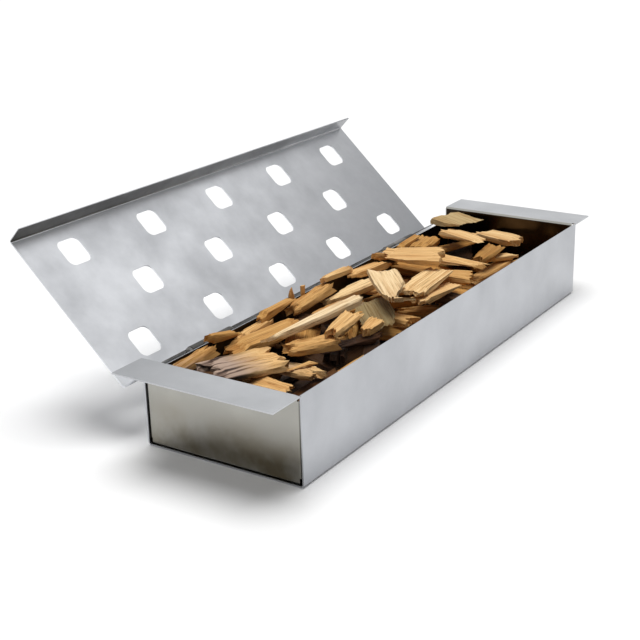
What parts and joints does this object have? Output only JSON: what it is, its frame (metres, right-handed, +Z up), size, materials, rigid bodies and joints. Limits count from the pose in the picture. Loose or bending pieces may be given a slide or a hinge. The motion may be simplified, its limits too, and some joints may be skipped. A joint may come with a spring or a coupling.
{
  "type": "grill smoker box",
  "caption": "Long folded steel tray with a flat flange at each end, filled with wood chips, and a perforated lid that swings open on two rear hinges.",
  "frame": {"origin": "centre of the tray's underside", "axes": "+X along the length, +Y from the front wall to the hinge wall, +Z up"},
  "size_m": [0.347, 0.171, 0.0976],
  "materials": {
    "tray_steel": "plain brushed stainless sheet",
    "lid_steel": "plain brushed stainless sheet, cloudy on the inside",
    "hinge_steel": "plain stainless",
    "wood": "raw split wood"
  },
  "bodies": {
    "tray": {"tray_channel": "tray_steel", "end_panel_left": "tray_steel", "end_panel_right": "tray_steel", "hinge_leaf_left": "hinge_steel", "hinge_leaf_right": "hinge_steel", "hinge_pin_left": "hinge_steel", "hinge_pin_right": "hinge_steel", "hinge_rivets_left": "hinge_steel", "hinge_rivets_right": "hinge_steel", "wood_chips_layer_1": "wood", "wood_chips_layer_2": "wood", "wood_chips_layer_3": "wood", "wood_chips_heap_1": "wood", "wood_chips_heap_2": "wood", "wood_chips_heap_3": "wood", "wood_chips_heap_4": "wood", "wood_chips_heap_5": "wood", "wood_chips_heap_6": "wood", "wood_chips_heap_7": "wood", "wood_chips_heap_8": "wood", "wood_chips_heap_9": "wood", "wood_chips_heap_10": "wood", "wood_chips_heap_11": "wood", "wood_chips_heap_12": "wood"},
    "lid": {"lid": "lid_steel"}
  },
  "joints": [
    {"name": "lid_hinge", "type": "hinge", "parent": "tray", "child": "lid", "pos_m": [0, 0.04875, 0.0334], "axis": [-1, 0, 0], "range_deg": [-136.5, 56]}
  ]
}
